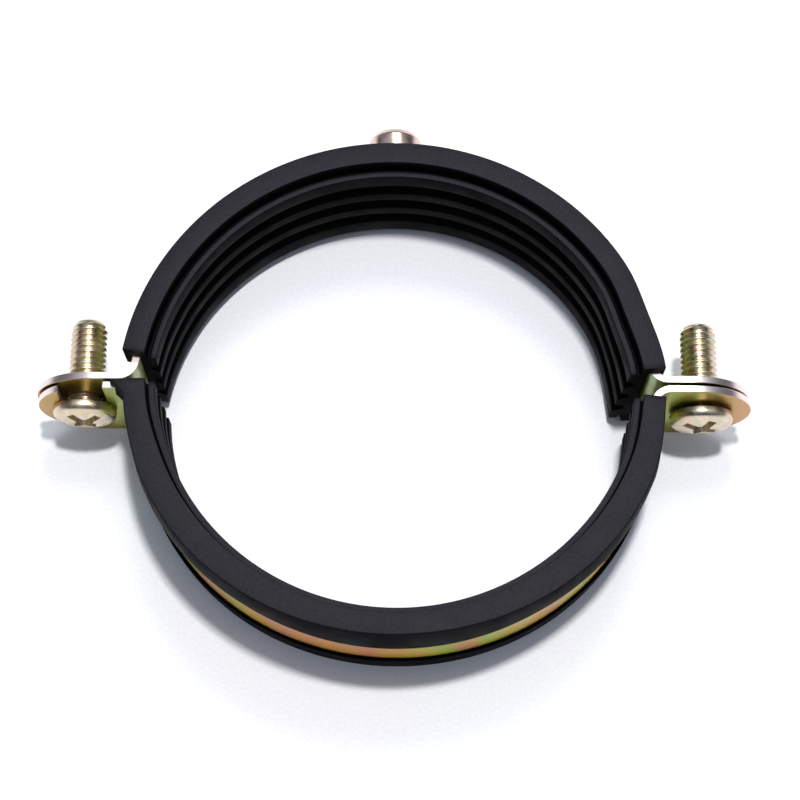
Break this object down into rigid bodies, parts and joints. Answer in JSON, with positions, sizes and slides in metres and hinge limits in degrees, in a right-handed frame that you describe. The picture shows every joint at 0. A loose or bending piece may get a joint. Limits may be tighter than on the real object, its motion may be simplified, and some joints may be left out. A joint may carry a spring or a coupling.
{
  "type": "rubber lined pipe clamp",
  "caption": "Round pipe clamp of two folded steel half rings with ribbed black rubber liners, a tapped hanger boss and a screw through each pair of ears.",
  "frame": {"origin": "centre of the upper half's curve, on the axis of the pipe that it holds, halfway across the clamp's width", "axes": "+Z along the pipe's axis, +Y towards the hanger boss, the ears and screws on the X axis"},
  "size_m": [0.1163, 0.0905, 0.025],
  "materials": {
    "zinc_steel": "yellow zinc passivated strip",
    "screw_steel": "yellow zinc passivated, bright",
    "liner_rubber": "matt, lightly dusted"
  },
  "bodies": {
    "upper_half": {"upper_band": "zinc_steel", "upper_liner": "liner_rubber", "hanger_boss": "zinc_steel"},
    "right_fastener": {"right_screw": "screw_steel"},
    "left_fastener": {"left_screw": "screw_steel"},
    "lower_half": {"lower_band": "zinc_steel", "lower_liner": "liner_rubber"}
  },
  "joints": [
    {"name": "screw_travel", "type": "slide", "parent": "upper_half", "child": "right_fastener", "axis": [0, 1, 0], "range_m": [-0.01, 0.0003]},
    {"name": "left_screw_travel", "type": "slide", "parent": "upper_half", "child": "left_fastener", "axis": [0, 1, 0], "range_m": [-0.01, 0.0003]},
    {"name": "swing_open", "type": "hinge", "parent": "right_fastener", "child": "lower_half", "pos_m": [0.0502, 0, 0], "axis": [0, -1, 0], "range_deg": [0, 95]}
  ],
  "couplings": [
    {"joint": "left_screw_travel", "follows": "screw_travel", "ratio": 1}
  ]
}
